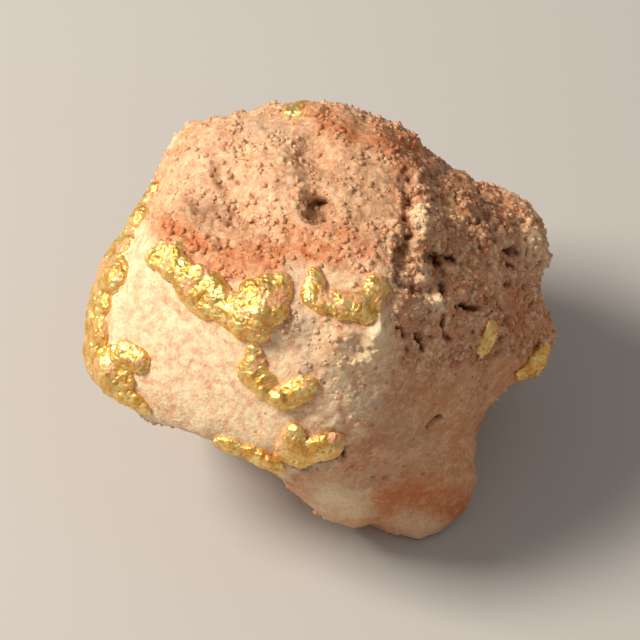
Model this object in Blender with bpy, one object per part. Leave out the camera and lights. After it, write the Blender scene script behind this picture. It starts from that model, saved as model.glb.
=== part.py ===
"""A gold nugget still in its host rock: a chunky piece of pink quartz rock, 24 mm across, with lumpy gold
masses standing out of its brow, its left rim and its lower corner.

The rock is shaped from landmarks. Those on the side that is seen are given as the eye sees them, in
millimetres to the right, up and toward the eye from the middle of the stone. Those on the hidden side are
given in the part's own axes. The gold is shaped as runs of lumps that lie in the rock's surface, each run
in a socket of its own. The stone rests on a flat broken face, +Z is up, and the origin is the bottom centre.
"""

import math

import bmesh
import bpy
from mathutils import Matrix, Vector, noise
from mathutils.bvhtree import BVHTree

MM = 0.001

# The eye looks down at the stone from the front, at this height above the horizon.
EYE_ELEVATION = math.radians(55)
EYE_RIGHT = Vector((1, 0, 0))
EYE_UP = Vector((0, math.sin(EYE_ELEVATION), math.cos(EYE_ELEVATION)))
EYE_TOWARD = Vector((0, -math.cos(EYE_ELEVATION), math.sin(EYE_ELEVATION)))
EYE_DISTANCE = 30

# The point inside the stone that every landmark is seen from without another part of the stone between.
HEART = (0.5, 0.5, -1.5)

# The height of the broken face that the stone rests on, below the middle of the stone.
REST_LEVEL = -11.2

# Landmarks on the side that is seen: right, up and toward the eye, in millimetres.
SEEN_LANDMARKS = {
    "outline over the top": [
        (-7.9, 8.4, -0.2), (-7.3, 9.2, -0.6), (-6.2, 10.2, -0.9), (-4.2, 10.5, -1.0), (-2.2, 10.8, -1.0),
        (-0.3, 10.8, -1.2), (1.6, 11.0, -1.2), (3.4, 10.1, -1.3), (5.1, 8.9, -1.6), (6.3, 7.7, -2.0),
        (7.3, 7.5, -2.2), (7.9, 6.8, -2.4), (9.2, 6.5, -2.8),
    ],
    "outline of the right knob and lobe": [
        (10.9, 6.2, -3.2), (11.7, 4.7, -3.6), (11.9, 3.2, -3.8), (11.0, 2.0, -4.0), (11.3, 0.9, -4.2),
        (12.0, -0.1, -4.4), (12.0, -1.4, -4.7), (11.4, -2.6, -4.9), (10.5, -3.1, -5.0), (9.3, -3.6, -4.4),
        (8.5, -4.4, -3.6), (8.0, -5.7, -3.6), (7.6, -7.1, -4.4),
    ],
    "outline of the two feet": [
        (7.95, -8.8, -5.2), (7.7, -9.9, -5.8), (6.5, -11.0, -5.9), (5.0, -11.6, -5.5), (3.9, -11.0, -5.5),
        (3.1, -10.4, -5.2), (2.0, -10.8, -4.6), (0.8, -10.7, -3.8), (-0.3, -9.5, -1.6), (-0.8, -8.6, 1.2),
    ],
    "outline under the front face": [
        (-2.4, -7.5, 2.6), (-4.0, -6.8, 2.8), (-5.4, -6.3, 2.6), (-7.0, -5.6, 2.2), (-8.6, -4.9, 1.8),
        (-10.2, -4.1, 1.2), (-11.0, -3.3, 0.6),
    ],
    "outline of the left rim": [
        (-11.4, -2.0, 0.2), (-11.3, -0.4, 0.2), (-10.9, 1.2, 0.4), (-10.3, 2.8, 0.4), (-9.5, 4.0, 0.4),
        (-8.9, 5.4, 0.3), (-8.2, 6.9, 0.1),
    ],
    "front face": [
        (-10.2, 1.8, 3.0), (-10.9, -0.6, 2.4), (-10.4, -2.6, 2.6), (-8.6, 0.4, 3.9), (-8.6, -3.6, 3.2),
        (-7.0, -1.4, 4.4), (-6.4, 1.2, 5.0), (-6.4, -4.6, 3.6), (-4.6, -1.6, 5.5), (-4.2, -5.2, 4.0),
        (-2.4, -2.6, 6.2), (-2.4, -6.4, 4.2), (-1.0, -5.2, 5.2),
    ],
    "brow over the front face": [
        (-8.8, 3.4, 4.4), (-7.2, 2.6, 5.4), (-5.4, 1.4, 6.2), (-3.4, 0.2, 6.9), (-2.2, 0.8, 7.2),
        (-0.9, 1.4, 7.2), (0.8, 1.0, 7.2), (2.4, 0.7, 7.0), (3.6, 1.4, 6.6),
    ],
    "slope above the brow": [
        (-8.0, 5.0, 3.9), (-6.0, 3.6, 5.2), (-3.8, 3.0, 5.8), (-1.4, 3.0, 6.1), (1.2, 3.1, 6.1),
        (3.6, 3.4, 5.6),
    ],
    "plateau": [
        (-6.9, 6.6, 2.8), (-4.4, 5.2, 3.9), (-2.4, 5.4, 4.6), (-0.4, 5.6, 4.7), (2.4, 5.8, 4.2),
        (4.6, 5.4, 3.8), (-6.4, 8.6, 1.4), (-4.2, 8.0, 2.6), (-2.4, 8.2, 2.9), (-0.4, 8.0, 2.2),
        (2.2, 8.2, 2.2), (4.4, 7.4, 1.9), (-5.0, 9.8, 0.4), (-1.8, 10.2, 0.6), (1.0, 10.2, 0.6),
        (3.2, 9.4, 0.6),
    ],
    "right shoulder": [
        (6.4, 6.4, 1.2), (8.4, 5.6, -0.4), (10.2, 4.6, -1.8), (6.4, 4.2, 2.6), (8.6, 3.4, 0.8),
        (10.2, 2.6, -1.4), (5.4, 2.2, 4.2), (7.4, 1.4, 2.4), (9.4, 0.6, 0.2), (10.9, -0.2, -1.8),
        (5.4, -0.4, 4.4), (7.4, -1.0, 2.2), (9.4, -1.6, -0.6), (11.0, -1.8, -2.6),
    ],
    "ridge down from the brow": [
        (0.4, -1.2, 7.2), (2.8, -0.8, 6.7), (0.2, -3.4, 6.4), (3.0, -2.8, 5.7), (1.0, -5.4, 5.2),
        (0.6, -7.2, 3.9),
    ],
    "right face, turned from the light": [
        (5.2, -2.8, 3.6), (7.4, -3.2, 1.0), (3.4, -5.0, 3.6), (5.6, -5.2, 1.0), (7.2, -5.4, -1.4),
        (3.0, -7.0, 1.6), (5.2, -7.4, -1.2), (7.0, -7.6, -2.8),
    ],
    "feet, seen from above": [
        (-0.2, -7.9, 2.6), (1.0, -8.6, 0.8), (0.8, -9.8, -1.4), (2.6, -8.8, -0.8), (2.4, -10.0, -2.6),
        (4.4, -9.2, -2.8), (6.4, -9.2, -3.6), (5.0, -10.5, -4.4),
    ],
}

# Landmarks on the hidden side: x, y and z in the part's axes, from the middle of the stone.
HIDDEN_LANDMARKS = {
    "back, upper": [
        (-6.8, 9.4, 3.0), (-3.4, 10.6, 3.2), (0.6, 11.0, 3.2), (4.0, 10.0, 2.2), (7.2, 8.4, -0.4),
    ],
    "back, middle": [
        (-9.0, 7.2, -2.2), (-6.0, 10.4, -1.6), (-1.6, 11.9, -1.8), (3.6, 11.4, -2.4), (8.0, 9.0, -4.0),
        (10.4, 6.0, -5.2),
    ],
    "back, lower": [
        (-8.8, 6.2, -6.8), (-4.6, 9.6, -7.0), (0.6, 10.6, -7.2), (5.4, 9.2, -7.6), (9.0, 5.4, -8.4),
    ],
    "left flank": [
        (-10.6, 4.6, -1.2), (-10.6, 3.6, -4.6), (-10.6, 0.6, -3.0), (-9.4, -0.4, -5.4),
        (-7.6, -2.0, -4.2), (-8.8, 2.0, -8.4),
    ],
    "hollow under the front face": [
        (-5.0, -3.6, -4.4), (-2.4, -5.0, -5.4), (-5.6, -0.8, -8.2), (-1.6, -3.4, -9.0),
    ],
    "right flank": [(9.6, 1.4, -7.4), (7.4, -0.8, -8.6)],
    "broken face it rests on": [
        (-7.0, 3.8, -12.0), (-4.2, 7.2, -12.0), (0.8, 8.4, -12.0), (5.4, 7.0, -12.0), (7.6, 3.2, -12.0),
        (-4.6, 0.6, -12.0), (0.6, -2.4, -12.0), (6.0, -2.8, -12.0), (1.0, 3.0, -12.6),
    ],
}

# The corners are softened over these passes, each halfway to the neighbours, and swelled back by this much.
CAGE_CUTS = 5
SOFTEN_PASSES = 4
SWELL = 0.2

# Flat breaks on the hidden side: the way each faces, and how far it lies from the middle of the stone.
BREAKS = {
    "back, facing up": ((-0.15, 0.80, 0.58), 11.3),
    "back, middle": ((0.22, 0.97, 0.08), 11.4),
    "back, left": ((-0.62, 0.76, -0.18), 10.8),
    "back, right": ((0.52, 0.82, -0.24), 11.4),
    "back, low": ((0.06, 0.78, -0.62), 12.0),
    "back, low and left": ((-0.50, 0.60, -0.62), 11.6),
    "left flank, high": ((-0.86, 0.50, -0.05), 10.8),
    "left flank, low": ((-0.84, 0.10, -0.54), 10.8),
    "right flank, back": ((0.86, 0.48, -0.18), 12.3),
    "right flank, low": ((0.85, -0.10, -0.50), 12.2),
}

# Lumps and hollows on the side that is seen: right, up, radius and height, in millimetres.
RELIEF = {
    "hollow behind the brow": (-4.4, 4.9, 2.2, -0.45),
    "hump on the plateau": (-2.2, 7.4, 1.9, 0.35),
    "hump at the far edge": (-5.6, 8.8, 2.0, 0.25),
    "valley beside the hump": (-0.5, 8.4, 1.3, -0.45),
    "prow under the gold": (-3.1, 0.3, 1.5, 0.5),
    "round pit": (0.0, 5.7, 1.1, -1.1),
    "step by the shoulder": (4.3, 3.4, 0.9, -0.4),
    "cream lump": (5.1, 5.0, 1.0, 0.5),
    "lump under the cavity": (6.2, 0.9, 1.1, 0.5),
    "dark cavity": (6.0, 2.5, 1.0, -0.8),
    "yellow lump in the cavity": (5.2, 2.3, 0.7, 0.4),
    "lump on the shoulder": (8.0, 4.2, 1.3, 0.35),
    "dip on the shoulder": (9.6, 2.6, 1.2, -0.35),
    "knob at the right": (10.7, 4.3, 1.3, 0.3),
    "white column, top": (2.8, -0.5, 0.9, 0.45),
    "white column, foot": (2.3, -2.2, 0.9, 0.3),
    "groove of grey quartz": (-1.2, 1.2, 1.1, -0.6),
    "groove below it": (-0.9, -1.2, 1.2, -0.25),
    "dip over the corner": (2.0, -6.4, 1.0, -0.45),
    "lip over the corner": (1.8, -8.8, 1.0, 0.35),
    "dip between the feet": (3.2, -10.0, 0.9, -0.3),
}

# Wide unevenness of the broken stone: its height, the spacing of its widest waves, how many times finer and
# weaker each further wave is, and how many waves there are.
ROUGH_HEIGHT = 0.45
ROUGH_SPACING = 2.6
ROUGH_FINER = 2
ROUGH_WEAKER = 1
ROUGH_WAVES = 3

# The seen side has only this share of it up to the first place to the right, and all of it from the second.
SMOOTH_SHARE = 0.25
SMOOTH_UP_TO = 0.3
ROUGH_FROM = 4.0

# The triangles of the bare rock, and of the rock with its sockets.
ROCK_TRIANGLES = 4600
SOCKETED_ROCK_TRIANGLES = 6200

# Gold: runs of lumps, each right, up and radius in millimetres. A lump round the edge of what is seen also
# says how far toward the eye it lies.
GOLD = {
    "gold_brow": [
        (-8.3, 3.2, 0.50), (-8.0, 3.6, 0.35), (-7.5, 3.4, 0.45), (-7.9, 2.9, 0.45), (-7.4, 2.7, 0.55),
        (-6.9, 2.6, 0.50), (-6.8, 2.1, 0.60), (-6.2, 2.0, 0.65), (-6.1, 1.4, 0.70), (-5.7, 1.7, 0.65),
        (-5.8, 0.9, 0.60), (-5.3, 1.1, 0.65), (-4.9, 0.6, 0.60), (-4.4, 0.2, 0.65), (-4.3, 0.8, 0.45),
        (-3.9, -0.1, 0.70), (-3.7, 0.7, 0.60), (-3.3, -0.2, 0.70), (-3.3, 1.3, 0.60), (-3.0, 0.5, 0.70),
        (-2.7, 1.1, 0.70), (-2.6, 1.7, 0.60), (-2.4, 0.5, 0.60), (-2.1, 1.8, 0.50), (-2.1, 1.3, 0.50),
    ],
    "gold_brow_right": [
        (-0.2, 2.3, 0.25), (-0.2, 1.8, 0.35), (-0.2, 1.3, 0.45), (0.2, 1.0, 0.45), (0.7, 1.0, 0.45),
        (1.2, 0.7, 0.50), (1.8, 0.6, 0.50), (2.3, 0.6, 0.50), (2.6, 1.0, 0.50), (2.8, 1.5, 0.40),
        (2.8, 2.0, 0.30),
    ],
    "gold_left_rim": [
        (-8.4, 6.7, 0.40), (-8.7, 6.1, 0.40), (-9.0, 5.5, 0.45), (-9.3, 4.8, 0.50), (-9.6, 4.2, 0.50),
        (-9.8, 3.6, 0.65), (-10.2, 2.9, 0.65), (-10.3, 2.2, 0.80), (-10.7, 1.5, 0.70), (-10.9, 0.8, 0.70),
        (-11.2, 0.1, 0.60), (-11.2, -0.5, 0.70), (-11.2, -1.4, 0.80), (-11.1, -2.3, 0.70),
        (-10.7, -2.7, 0.95), (-10.7, -3.3, 0.55), (-10.3, -1.9, 0.55), (-9.8, -1.8, 0.60),
        (-9.2, -2.0, 0.50), (-10.0, -3.0, 0.60), (-10.0, -3.7, 0.50), (-9.5, -4.1, 0.40),
        (-9.0, -4.5, 0.30), (-9.1, 5.2, 0.60, 0.6), (-9.6, 4.2, 0.70, 0.4), (-10.1, 3.4, 0.80, 0.2),
        (-10.5, 2.4, 0.90, 0.2), (-10.8, 1.4, 0.90, 0.0), (-11.0, 0.4, 0.80, 0.0),
        (-11.1, -0.6, 0.80, 0.2), (-11.1, -1.6, 0.80, 0.2), (-10.9, -2.4, 0.80, 0.4),
        (-10.4, 2.6, 0.60, -0.9), (-10.8, -0.2, 0.70, -0.9), (-10.6, 1.9, 0.60, 1.0),
        (-10.9, 1.0, 0.60, 0.9), (-11.0, 0.1, 0.60, 0.8), (-11.1, -1.0, 0.60, 0.9),
    ],
    "gold_middle": [
        (-3.3, -1.6, 0.35), (-3.2, -2.2, 0.50), (-3.4, -2.7, 0.65), (-3.0, -3.0, 0.65), (-2.8, -3.5, 0.45),
        (-2.3, -3.8, 0.40), (-1.9, -4.0, 0.50), (-1.4, -3.8, 0.50), (-1.0, -3.5, 0.50), (-0.7, -3.3, 0.35),
    ],
    "gold_foot": [
        (-1.2, -5.7, 0.30), (-1.4, -6.2, 0.45), (-1.6, -6.6, 0.55), (-1.1, -6.9, 0.60), (-0.6, -6.7, 0.60),
        (0.0, -6.5, 0.60), (0.6, -6.4, 0.50), (0.9, -6.3, 0.35),
    ],
    "gold_lower_seam": [
        (-5.0, -6.3, 0.30), (-4.6, -6.4, 0.40), (-4.1, -6.6, 0.35), (-3.6, -6.8, 0.35), (-3.1, -7.0, 0.30),
        (-2.6, -7.3, 0.35), (-2.1, -7.6, 0.30),
    ],
    "gold_top_nub": [(-1.3, 10.7, 0.40), (-0.8, 10.7, 0.50), (-0.3, 10.7, 0.40)],
    "gold_right_patch": [(8.3, -1.4, 0.30), (8.6, -0.9, 0.35), (8.8, -0.4, 0.30)],
    "gold_right_edge": [(10.5, -2.7, 0.35), (10.9, -2.6, 0.45), (11.2, -2.2, 0.50), (11.5, -1.7, 0.40)],
}

# A lump of gold is this thick for its width, and its middle stands this share of its radius proud.
LUMP_THICKNESS = 0.75
LUMP_PROUD = 0.15

# How far a lump is dented and raised, how far apart its dents lie, and the grain that fuses a run of lumps.
DENT_HEIGHT = 0.22
DENT_SPACING = 0.9
FUSING_GRAIN = 0.13

# The triangles' size, in square millimetres, on the gold and on the cutters of its sockets.
GOLD_TRIANGLE_AREA = 0.075
SOCKET_TRIANGLE_AREA = 0.15

# The play between a gold mass and its socket in the rock.
SOCKET_GAP = 0.35


def seen(right, up, toward):
    """The point, in metres, that lies this far right, up and toward the eye, in millimetres."""
    return (EYE_RIGHT * right + EYE_UP * up + EYE_TOWARD * toward) * MM


def clear_scene():
    for old in list(bpy.data.objects):
        bpy.data.objects.remove(old)


def link(name, mesh):
    obj = bpy.data.objects.new(name, mesh)
    bpy.context.scene.collection.objects.link(obj)
    return obj


def modified(obj, kind, **settings):
    """The object with this modifier applied to its mesh."""
    modifier = obj.modifiers.new(kind.title(), kind)
    for name, value in settings.items():
        setattr(modifier, name, value)
    shape = obj.evaluated_get(bpy.context.evaluated_depsgraph_get())
    mesh = bpy.data.meshes.new_from_object(shape)
    obj.modifiers.clear()
    obj.data = mesh
    return obj


def thinned(obj, triangles):
    """The object with about this many triangles. The smallest go first."""
    present = sum(len(face.vertices) - 2 for face in obj.data.polygons)
    return modified(obj, "DECIMATE", ratio=min(1, triangles / present), use_collapse_triangulate=True)


def surface(obj):
    return BVHTree.FromObject(obj, bpy.context.evaluated_depsgraph_get())


def place_on(rock, right, up, toward=None):
    """The point of the rock's surface that the eye sees there, and the way the surface faces."""
    if toward is None:
        point, normal, _, _ = rock.ray_cast(seen(right, up, EYE_DISTANCE), -EYE_TOWARD)
        if point is not None:
            return point, normal
        toward = 0
    point, normal, _, _ = rock.find_nearest(seen(right, up, toward))
    return point, normal


def landmark_points():
    points = [seen(*place) for group in SEEN_LANDMARKS.values() for place in group]
    points += [Vector(place) * MM for group in HIDDEN_LANDMARKS.values() for place in group]
    return points


def rock_cage():
    """The closed shell through every landmark. Its faces join those that lie side by side round the heart."""
    heart = seen(*HEART)
    points = landmark_points()
    cage = bmesh.new()
    for point in points:
        cage.verts.new((point - heart).normalized())
    bmesh.ops.convex_hull(cage, input=cage.verts)
    for vertex, point in zip(cage.verts, points):
        vertex.co = point
    bmesh.ops.recalc_face_normals(cage, faces=cage.faces)
    return cage


def soften(cage):
    bmesh.ops.subdivide_edges(cage, edges=cage.edges, cuts=CAGE_CUTS, use_grid_fill=True)
    bmesh.ops.triangulate(cage, faces=cage.faces)
    for _ in range(SOFTEN_PASSES):
        bmesh.ops.smooth_vert(
            cage, verts=cage.verts, factor=0.5, use_axis_x=True, use_axis_y=True, use_axis_z=True
        )
    cage.normal_update()
    for vertex in cage.verts:
        vertex.co += vertex.normal * SWELL * MM


def break_flat(cage):
    for facing, reach in BREAKS.values():
        facing = Vector(facing).normalized()
        for vertex in cage.verts:
            beyond = vertex.co.dot(facing) - reach * MM
            if beyond > 0:
                vertex.co -= facing * beyond


def raise_relief(cage):
    """Raise the lumps and sink the hollows, each along the way the surface faces at its middle."""
    rock = BVHTree.FromBMesh(cage)
    places = [(place_on(rock, right, up), radius, height) for right, up, radius, height in RELIEF.values()]
    for (middle, facing), radius, height in places:
        for vertex in cage.verts:
            off = (vertex.co - middle).length / (radius * MM)
            if off < 1:
                vertex.co += facing * height * MM * (1 - off * off) ** 2


def roughen(cage):
    """Wide unevenness, slight on the smooth front face and full elsewhere."""
    cage.normal_update()
    for vertex in cage.verts:
        across = (vertex.co.dot(EYE_RIGHT) / MM - SMOOTH_UP_TO) / (ROUGH_FROM - SMOOTH_UP_TO)
        if vertex.normal.dot(EYE_TOWARD) < 0:
            across = 1
        share = SMOOTH_SHARE + (1 - SMOOTH_SHARE) * min(1, max(0, across))
        wave = noise.fractal(vertex.co / (ROUGH_SPACING * MM), ROUGH_WEAKER, ROUGH_FINER, ROUGH_WAVES)
        vertex.co += vertex.normal * wave * ROUGH_HEIGHT * share * MM


def cut_flat(obj):
    """Cut the stone off at the level that it rests on, and close the cut with one flat face."""
    stone = bmesh.new()
    stone.from_mesh(obj.data)
    everything = list(stone.verts) + list(stone.edges) + list(stone.faces)
    level = Vector((0, 0, REST_LEVEL * MM))
    bmesh.ops.bisect_plane(stone, geom=everything, plane_co=level, plane_no=(0, 0, -1), clear_outer=True)
    rim = [edge for edge in stone.edges if edge.is_boundary]
    bmesh.ops.edgeloop_fill(stone, edges=rim)
    bmesh.ops.triangulate(stone, faces=stone.faces)
    stone.to_mesh(obj.data)
    stone.free()


def make_rock():
    cage = rock_cage()
    soften(cage)
    break_flat(cage)
    raise_relief(cage)
    roughen(cage)
    mesh = bpy.data.meshes.new("host_rock")
    cage.to_mesh(mesh)
    cage.free()
    rock = link("host_rock", mesh)
    return thinned(rock, ROCK_TRIANGLES)


def fused_lumps(name, lumps, rock, triangle_area, swell=0):
    """One closed body from a run of flattened lumps in the rock's surface, all swelled by this much."""
    run = bmesh.new()
    for right, up, radius, *toward in lumps:
        point, facing = place_on(rock, right, up, *toward)
        stand = Matrix.Translation(point + facing * radius * LUMP_PROUD * MM)
        turn = facing.to_track_quat("Z", "Y").to_matrix().to_4x4()
        wide = (radius + swell) * MM
        thick = (radius * LUMP_THICKNESS + swell) * MM
        shape = stand @ turn @ Matrix.Diagonal((wide, wide, thick, 1))
        bmesh.ops.create_icosphere(run, subdivisions=3, radius=1, matrix=shape)
    run.normal_update()
    for vertex in run.verts:
        wave = noise.noise(vertex.co / (DENT_SPACING * MM))
        vertex.co += vertex.normal * wave * DENT_HEIGHT * MM
    mesh = bpy.data.meshes.new(name)
    run.to_mesh(mesh)
    run.free()
    body = link(name, mesh)
    modified(body, "REMESH", mode="VOXEL", voxel_size=FUSING_GRAIN * MM)
    area = sum(face.area for face in body.data.polygons) / MM / MM
    return thinned(body, area / triangle_area)


def cut_socket(rock, cutter):
    modified(rock, "BOOLEAN", operation="DIFFERENCE", solver="EXACT", object=cutter)
    bpy.data.objects.remove(cutter)


def keep_largest(obj):
    """Drop the chips that the sockets may have cut loose."""
    stone = bmesh.new()
    stone.from_mesh(obj.data)
    left = set(stone.verts)
    bodies = []
    while left:
        start = left.pop()
        body, front = {start}, [start]
        while front:
            for edge in front.pop().link_edges:
                for vertex in edge.verts:
                    if vertex in left:
                        left.remove(vertex)
                        body.add(vertex)
                        front.append(vertex)
        bodies.append(body)
    bodies.sort(key=len)
    loose = [vertex for body in bodies[:-1] for vertex in body]
    bmesh.ops.delete(stone, geom=loose, context="VERTS")
    bmesh.ops.triangulate(stone, faces=stone.faces)
    stone.to_mesh(obj.data)
    stone.free()


def material(name, colour, roughness, metallic):
    result = bpy.data.materials.new(name)
    result.use_nodes = True
    shader = result.node_tree.nodes["Principled BSDF"]
    shader.inputs["Base Color"].default_value = (*colour, 1)
    shader.inputs["Roughness"].default_value = roughness
    shader.inputs["Metallic"].default_value = metallic
    return result


def finish(obj, look):
    obj.data.materials.clear()
    obj.data.materials.append(look)
    obj.data.shade_smooth()


def stand_on_origin(objects):
    """Move everything so that the origin is the middle of its box, at the bottom."""
    corners = [vertex.co for obj in objects for vertex in obj.data.vertices]
    low = Vector(min(corner[axis] for corner in corners) for axis in range(3))
    high = Vector(max(corner[axis] for corner in corners) for axis in range(3))
    shift = Vector((-(low.x + high.x) / 2, -(low.y + high.y) / 2, -low.z))
    for obj in objects:
        obj.data.transform(Matrix.Translation(shift))
    return shift


def main():
    clear_scene()
    rock = make_rock()
    skin = surface(rock)
    masses = [fused_lumps(name, lumps, skin, GOLD_TRIANGLE_AREA) for name, lumps in GOLD.items()]
    for name, lumps in GOLD.items():
        cut_socket(rock, fused_lumps(name + "_socket", lumps, skin, SOCKET_TRIANGLE_AREA, SOCKET_GAP))
    keep_largest(rock)
    thinned(rock, SOCKETED_ROCK_TRIANGLES)
    cut_flat(rock)
    finish(rock, material("pink quartz rock", (0.62, 0.38, 0.24), 0.7, 0))
    gold = material("native gold", (0.86, 0.56, 0.20), 0.35, 1)
    for mass in masses:
        finish(mass, gold)
    return stand_on_origin([rock, *masses])


MIDDLE = main()
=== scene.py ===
"""The looks of a gold nugget in its host rock, built round the part's solids.

The rock gets a fine skin of sugary pink quartz with its lumps, crevices, pits and stains, and grains of
quartz scattered on it. Its colour also holds painted shade in its crevices, holes and pocks and on the faces
turned from the light, and painted light on the lit front face and a few places in shadow. Every gold mass
gets a fine wrinkled skin of its own, with painted shade in its creases. Places on the side that is seen are
given as the eye sees them, in millimetres to the right and up from the middle of the stone.
"""

import math

import bmesh
import bpy
import numpy as np
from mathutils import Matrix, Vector, noise
from mathutils.bvhtree import BVHTree


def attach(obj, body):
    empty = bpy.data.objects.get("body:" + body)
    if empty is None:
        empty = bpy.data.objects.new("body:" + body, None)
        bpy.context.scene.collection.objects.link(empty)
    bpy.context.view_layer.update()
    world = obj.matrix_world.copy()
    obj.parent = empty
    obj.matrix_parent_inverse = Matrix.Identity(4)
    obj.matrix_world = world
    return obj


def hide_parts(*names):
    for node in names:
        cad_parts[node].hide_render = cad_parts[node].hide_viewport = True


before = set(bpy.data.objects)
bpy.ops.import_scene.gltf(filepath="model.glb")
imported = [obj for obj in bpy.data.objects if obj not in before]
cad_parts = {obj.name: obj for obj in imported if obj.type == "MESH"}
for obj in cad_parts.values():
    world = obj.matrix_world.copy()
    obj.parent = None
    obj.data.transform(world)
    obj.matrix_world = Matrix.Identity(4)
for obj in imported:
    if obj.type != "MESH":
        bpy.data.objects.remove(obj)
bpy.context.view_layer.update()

MM = 0.001

# The eye looks down at the stone from the front, at this height above the horizon.
EYE_ELEVATION = math.radians(55)
RIGHT = np.array([1, 0, 0])
UP = np.array([0, math.sin(EYE_ELEVATION), math.cos(EYE_ELEVATION)])
TOWARD = np.array([0, -math.cos(EYE_ELEVATION), math.sin(EYE_ELEVATION)])

# The middle of the stone, in millimetres in the part's frame, and the width of the picture there.
MIDDLE = np.array([0.09, -1.57, 11.2])
PICTURE_PIXELS, PIXELS_PER_MM = 640, 19.6
PICTURE_WIDTH = PICTURE_PIXELS / PIXELS_PER_MM

ROCK_NODE = "host_rock"
GOLD_NODES = sorted(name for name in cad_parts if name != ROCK_NODE)

# How the sockets are filled again: the gold is swelled by this much, fused with the rock at a coarse grain,
# and the skin within this reach of the gold is let down onto its surroundings.
SOCKET_FILL = 0.45
COARSE_GRAIN = 0.24
FILL_REACH = 0.75
FILL_PASSES = 260
FILL_SHARE = 0.9
FACET_PASSES = 3
WELD = 0.001

# The rock's fine skin: how closely its points lie, and how many triangles it keeps.
ROCK_GRAIN = 0.118
ROCK_TRIANGLES = 196000

# The gold's fine skin: how closely its points lie, how far it is swelled past the solid, how often it is
# smoothed, and the share by which it is then let down toward the rock.
GOLD_GRAIN = 0.06
GOLD_SWELL = 0.24
GOLD_SMOOTHING = 16
GOLD_PRESS = 0.45

# The gold's relief: the spacing, waves, shift and height of its rolls, ridges and wrinkles.
GOLD_ROLLS = (1.1, 3, 50), 0.06
GOLD_RIDGES = (0.55, 3, 21), 0.055
GOLD_WRINKLES = (0.25, 2, 33), 0.030
GOLD_PUSH = (0.6, 2), 0.2
# Painted shade in the gold's creases: where its skin lies lower than when smoothed so many times, full at
# this depth.
GOLD_CREVICE_PASSES, GOLD_CREVICE_HIGH = 10, 0.05

# The stained crust on the gold: where its noise lies, how much more of it faces up, and which gold has more.
CRUST_NOISE = (0.9, 4, 90)
CRUST_UPWARD = 0.25
CRUST_LOW, CRUST_HIGH = 0.22, 0.5
CRUSTED = {"gold_brow_right": 0.22, "gold_top_nub": 0.25, "gold_foot": 0.12}

# The wide smooth front face, as the eye sees it, and the zones that differ from it.
FRONT_FACE = [
    (-12.5, 3.4), (-9.2, 5.4), (-8.6, 4.0), (-6.0, 1.6), (-2.6, 0.2), (-1.2, -1.4), (-0.8, -3.4),
    (-1.2, -5.4), (-1.4, -8.6), (-13.0, -8.6),
]
RIDGE_FACE = [(-1.8, 2.8), (3.4, 2.4), (3.9, -0.8), (3.4, -3.2), (2.4, -6.0), (-1.2, -7.6), (-1.2, -1.4)]
LOWER_RIGHT_FACE = [
    (4.4, -2.6), (12.6, -1.6), (12.6, -8.0), (3.0, -8.2), (1.0, -7.6), (2.4, -5.6), (3.4, -3.6),
]
FEET = [(-1.8, -8.0), (1.0, -7.7), (3.0, -8.3), (9.0, -8.0), (9.0, -12.5), (-2.0, -12.5)]
LUMPY_RIGHT = [
    (3.9, 10.0), (8.0, 8.0), (12.6, 6.4), (12.8, -1.8), (4.6, -2.8), (3.9, -0.8), (3.6, 2.8), (3.9, 6.0),
]

# The broken crevice down the front of the lumpy right end, for its relief and its dirt.
SPLIT = [(4.4, 7.0), (4.6, 6.0), (4.3, 5.2), (4.5, 4.2), (4.1, 3.0), (4.0, 2.0), (4.6, 1.6), (5.1, 1.25)]

# Stains and tints, as strokes: width, strength, places. Some are painted shade or painted light, as marked
# below.
RUST_STROKES = [
    (1.2, 1.00, [(-7.8, 4.8), (-7.0, 4.3), (-6.3, 3.7), (-5.6, 3.3)]),
    (1.2, 0.95, [(-5.0, 3.2), (-4.0, 3.3), (-2.8, 3.4), (-1.6, 3.6), (-0.4, 3.6), (0.6, 3.3)]),
    (1.1, 0.70, [(-5.0, 2.5), (-3.6, 2.8), (-2.2, 2.7)]),
    (1.2, 0.75, [(-1.5, 4.3), (-0.6, 3.7), (0.8, 3.0)]),
    (1.0, 0.70, [(0.7, 4.4), (2.0, 4.0), (2.4, 3.6)]),
    (1.2, 0.90, [(0.3, 10.3), (1.0, 9.9), (1.6, 9.6)]),
    (1.3, 0.95, [(3.0, 9.2), (4.0, 8.9), (4.9, 8.6)]),
    (0.7, 0.60, [(4.4, 7.6)]),
    (0.4, 0.80, [(6.6, 4.9)]),
    (0.3, 0.70, [(9.05, 5.3)]),
    (0.5, 0.85, [(6.4, 0.45)]),
    (0.3, 0.70, [(8.4, 3.3)]),
    (1.6, 0.60, [(9.8, 0.9), (10.4, -0.4)]),
    (1.9, 1.00, [(3.6, -9.1), (4.8, -8.9), (6.2, -9.3), (7.2, -9.6)]),
    (0.5, 0.75, [(0.9, -10.5), (2.0, -10.6), (2.9, -10.1)]),
    (0.5, 0.60, [(11.9, 0.2), (12.0, -0.8)]),
    (0.5, 0.50, [(3.7, -3.0)]),
    (0.4, 0.50, [(1.1, -5.4), (1.3, -7.6)]),
]
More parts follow.
